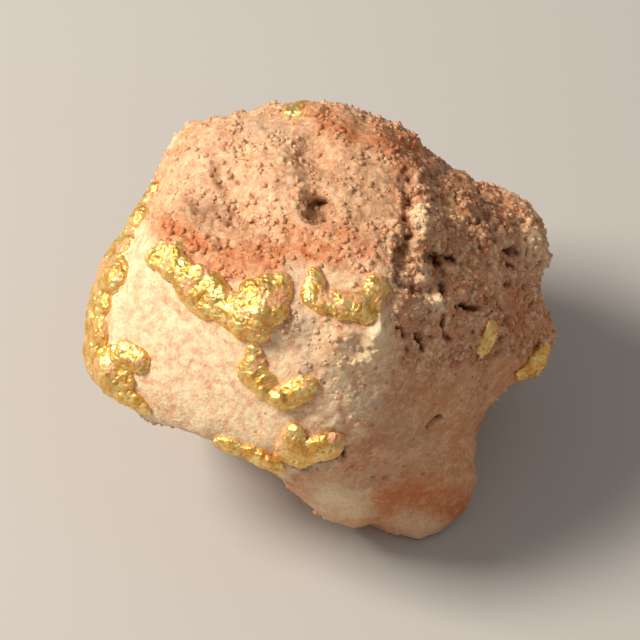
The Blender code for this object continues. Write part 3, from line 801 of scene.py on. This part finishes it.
class Pattern:
    """The nodes of one material, read in the piece's own millimetres."""

    def __init__(self, name):
        self.material = bpy.data.materials.new(name)
        self.material.use_nodes = True
        self.tree = self.material.node_tree
        self.shader = self.tree.nodes["Principled BSDF"]
        self.place = self.add("TexCoord").outputs["Object"]

    def add(self, kind, inputs=(), **settings):
        return node(self.tree, "ShaderNode" + kind, inputs, **settings)

    def cloud(self, spacing, detail=3, roughness=0.55):
        inputs = {"Vector": self.place, "Scale": 1 / (spacing * MM), "Detail": detail, "Roughness": roughness}
        return self.add("TexNoise", inputs).outputs["Fac"]

    def warped(self, spacing, amount):
        """The piece's places, pushed about by soft noise."""
        inputs = {"Vector": self.place, "Scale": 1 / (spacing * MM), "Detail": 2}
        way = self.add("TexNoise", inputs).outputs["Color"]
        offset = self.add("VectorMath", {0: way, 1: (amount * MM,) * 3}, operation="MULTIPLY").outputs[0]
        return self.add("VectorMath", {0: self.place, 1: offset}, operation="ADD").outputs[0]

    def cells(self, spacing, warp):
        """Grains packed side by side: the distance from each one's middle, and its own random number."""
        inputs = {"Vector": self.warped(spacing * 1.5, warp), "Scale": 1 / (spacing * MM)}
        grains = self.add("TexVoronoi", inputs).outputs
        return grains["Distance"], self.add("SeparateColor", {"Color": grains["Color"]}).outputs["Red"]

    def layer(self, name):
        return self.add("Attribute", attribute_name=name).outputs["Fac"]

    def ramp(self, value, low, high, start=0.0, end=1.0):
        inputs = {"Value": value, "From Min": low, "From Max": high, "To Min": start, "To Max": end}
        return self.add("MapRange", inputs, interpolation_type="SMOOTHSTEP").outputs["Result"]

    def maths(self, operation, first, second):
        return self.add("Math", {0: first, 1: second}, operation=operation).outputs[0]

    def times(self, first, second):
        return self.maths("MULTIPLY", first, second)

    def broken(self, layer, spacing, low, high, start=0.0, detail=4, roughness=0.55):
        """The layer, broken up by noise that leaves at least this share of it."""
        return self.times(layer, self.ramp(self.cloud(spacing, detail, roughness), low, high, start))

    def mix(self, factor, first, second, blend="MIX"):
        inputs = {"Factor": factor, 6: first, 7: second}
        return self.add("Mix", inputs, data_type="RGBA", blend_type=blend).outputs[2]

    def bump(self, height, depth, strength, under=None):
        inputs = {"Height": height, "Distance": depth * MM, "Strength": strength}
        if under is not None:
            inputs["Normal"] = under
        return self.add("Bump", inputs).outputs["Normal"]

    def link(self, value, socket):
        self.tree.links.new(value, self.shader.inputs[socket])


def mottled(rock, pale_and_lit):
    """The rock's colour: peach with pink blotches, creamy white where it is lightest and tan where it is not.
    The creamy white is partly painted light on the lit front face, the tan partly painted shade on the faces
    turned away.
    """
    tint = rock.mix(rock.ramp(rock.cloud(0.8, 5, 0.65), 0.46, 0.62, 0.0, 0.75), PEACH, PINK)
    tint = rock.mix(rock.broken(pale_and_lit, 0.45, 0.35, 0.60, 0.0, 5, 0.6), tint, CREAM)
    return rock.mix(rock.broken(rock.maths("SUBTRACT", 1, pale_and_lit), 1.2, 0.30, 0.60, 0.45, 5), tint, TAN_AND_SHADE)


def speckled(rock, tint, lumpy, chance):
    """The tint with light and dull grains, most where the rock is lumpy, and scattered rusty specks."""
    light = rock.times(rock.ramp(chance, 0.62, 0.90), rock.maths("ADD", lumpy, 0.15))
    tint = rock.mix(rock.times(light, 0.5), tint, CREAM)
    dull = rock.times(rock.ramp(chance, 0.30, 0.10), rock.maths("ADD", lumpy, 0.10))
    tint = rock.mix(rock.times(dull, 0.6), tint, rock.mix(0.4, RUST, GREY))
    middle, speck_chance = rock.cells(0.5, 0.3)
    specks = rock.times(rock.ramp(middle, 0.22, 0.08), rock.ramp(speck_chance, 0.70, 0.80))
    return rock.mix(rock.times(specks, 0.8), tint, RUST)


def stained_and_shaded(rock, tint, lumpy):
    """The tint with the stains that the skin's layers hold, with painted shade in the crevices and holes,
    dark strokes that are partly grime and partly painted shade, and strokes that are partly painted light.
    """
    # Grey quartz, and a stroke of painted shade on the lower right face.
    tint = rock.mix(rock.broken(rock.layer("grey_and_shade"), 0.5, 0.30, 0.55, 0.35), tint, GREY)
    tint = rock.mix(rock.broken(rock.layer("rust"), 0.4, 0.32, 0.58, 0.3, 5, 0.65), tint, RUST)
    # Cream strokes, partly painted light.
    tint = rock.mix(rock.times(rock.layer("cream_and_light"), 0.8), tint, CREAM)
    # Painted shade: the crevices and holes darkened toward brown, most on lumpy rock.
    deep = rock.times(rock.layer("crevice_shade"), rock.maths("ADD", lumpy, 0.12))
    tint = rock.mix(rock.times(deep, 0.9), tint, BROWN)
    # Dark strokes and pocks, partly grime and partly painted shade, browner and then near black where
    # strongest.
    dirt_and_shade = rock.broken(rock.layer("dirt_and_shade"), 0.3, 0.30, 0.55, 0.5)
    return rock.mix(dirt_and_shade, tint, rock.mix(rock.ramp(dirt_and_shade, 0.4, 0.9), BROWN, DARK))


def rock_material():
    rock = Pattern("sugary pink quartz")
    lumpy, pale_and_lit = rock.layer("lumpy"), rock.layer("pale_and_lit")
    grain, chance = rock.cells(0.24, 0.12)
    tint = stained_and_shaded(rock, speckled(rock, mottled(rock, pale_and_lit), lumpy, chance), lumpy)
    tint = rock.mix(1.0, tint, rock.ramp(rock.cloud(0.12, 3, 0.7), 0.30, 0.70, 0.80, 1.12), "MULTIPLY")
    rock.link(tint, "Base Color")
    rock.link(rock.ramp(rock.cloud(0.3, 3), 0.30, 0.70, 0.45, 0.80), "Roughness")
    grit = rock.bump(rock.cloud(0.14, 4, 0.7), 0.05, 0.7)
    rock.link(rock.bump(grain, 0.05, 0.4, grit), "Normal")
    rock.shader.inputs["Specular IOR Level"].default_value = 0.4
    return rock.material


def gold_material():
    look = Pattern("native gold")
    tint = look.mix(look.ramp(look.cloud(0.5, 4), 0.35, 0.65), GOLD_PALE, GOLD_DEEP)
    # Painted shade: the gold's creases darkened.
    tint = look.mix(look.times(look.layer("crevice_shade"), 0.8), tint, GOLD_CREVICE_SHADE)
    crust = look.broken(look.layer("crust"), 0.2, 0.35, 0.55, 0.3, 4, 0.7)
    look.link(look.mix(crust, tint, look.mix(0.5, PEACH, RUST)), "Base Color")
    look.link(look.ramp(crust, 0.20, 0.80, 0.92, 0.10), "Metallic")
    look.link(look.ramp(look.cloud(0.35, 4), 0.30, 0.70, 0.36, 0.60), "Roughness")
    grain, _ = look.cells(0.10, 0.05)
    grit = look.bump(look.cloud(0.12, 4, 0.65), 0.03, 0.6)
    look.link(look.bump(grain, 0.02, 0.4, grit), "Normal")
    return look.material


# Putting it together


def add_piece(name, mesh, material, stands_for):
    piece = bpy.data.objects.new(name, mesh)
    bpy.context.scene.collection.objects.link(piece)
    mesh.materials.clear()
    mesh.materials.append(material)
    mesh.shade_smooth()
    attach(piece, "root")
    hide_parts(stands_for)


def add_pieces():
    gold = BVHTree.FromBMesh(joined([solid_copy(name) for name in GOLD_NODES]))
    stone = filled_stone(gold)
    faces = [tuple(face.vertices) for face in stone.polygons]
    bed = BVHTree.FromPolygons((points_of(stone) * MM).tolist(), faces)
    rock_look, gold_look = rock_material(), gold_material()
    skin = rock_skin(stone, gold)
    add_piece("rock_skin", skin, rock_look, ROCK_NODE)
    for name, sizes in GRANULE_PIECES.items():
        add_piece(name, granules(skin.copy(), rock_look, *sizes), rock_look, ROCK_NODE)
    for name in GOLD_NODES:
        add_piece(name.replace("gold_", "gold_skin_"), gold_skin(name, bed), gold_look, name)


def floor():
    half = FLOOR_HALF_WIDTH
    mesh = bpy.data.meshes.new("floor")
    corners = [(-half, -half, 0), (half, -half, 0), (half, half, 0), (-half, half, 0)]
    mesh.from_pydata(corners, [], [(0, 1, 2, 3)])
    piece = bpy.data.objects.new("floor", mesh)
    bpy.context.scene.collection.objects.link(piece)
    look = Pattern("pale floor")
    look.shader.inputs["Base Color"].default_value = FLOOR_TINT
    look.shader.inputs["Roughness"].default_value = 0.9
    mesh.materials.append(look.material)


def area_light(name, side, power, size, tint):
    """A soft light that shines at the stone from this side, as the eye sees it."""
    lamp = bpy.data.lights.new(name, "AREA")
    lamp.energy, lamp.size, lamp.color = power, size, tint
    holder = bpy.data.objects.new(name, lamp)
    bpy.context.scene.collection.objects.link(holder)
    way = Vector(side[0] * RIGHT + side[1] * UP + side[2] * TOWARD).normalized()
    holder.location = Vector(MIDDLE) * MM + way * LIGHT_DISTANCE
    holder.rotation_euler = way.to_track_quat("Z", "Y").to_euler()


def studio():
    world = bpy.data.worlds.new("studio")
    bpy.context.scene.world = world
    world.use_nodes = True
    sky = world.node_tree.nodes["Background"].inputs
    sky["Color"].default_value = SKY_TINT
    sky["Strength"].default_value = SKY_STRENGTH
    for name, settings in LIGHTS.items():
        area_light(name, *settings)
    bpy.context.scene.view_settings.view_transform = "Standard"


def camera():
    lens = bpy.data.cameras.new("camera")
    lens.sensor_width = SENSOR_WIDTH
    lens.lens = SENSOR_WIDTH * CAMERA_DISTANCE / (PICTURE_WIDTH * MM)
    lens.clip_start, lens.clip_end = 0.01, 10
    holder = bpy.data.objects.new("camera", lens)
    bpy.context.scene.collection.objects.link(holder)
    holder.location = Vector(MIDDLE) * MM + Vector(TOWARD) * CAMERA_DISTANCE
    holder.rotation_euler = Vector(TOWARD).to_track_quat("Z", "Y").to_euler()
    bpy.context.scene.camera = holder


add_pieces()
studio()
camera()
floor()
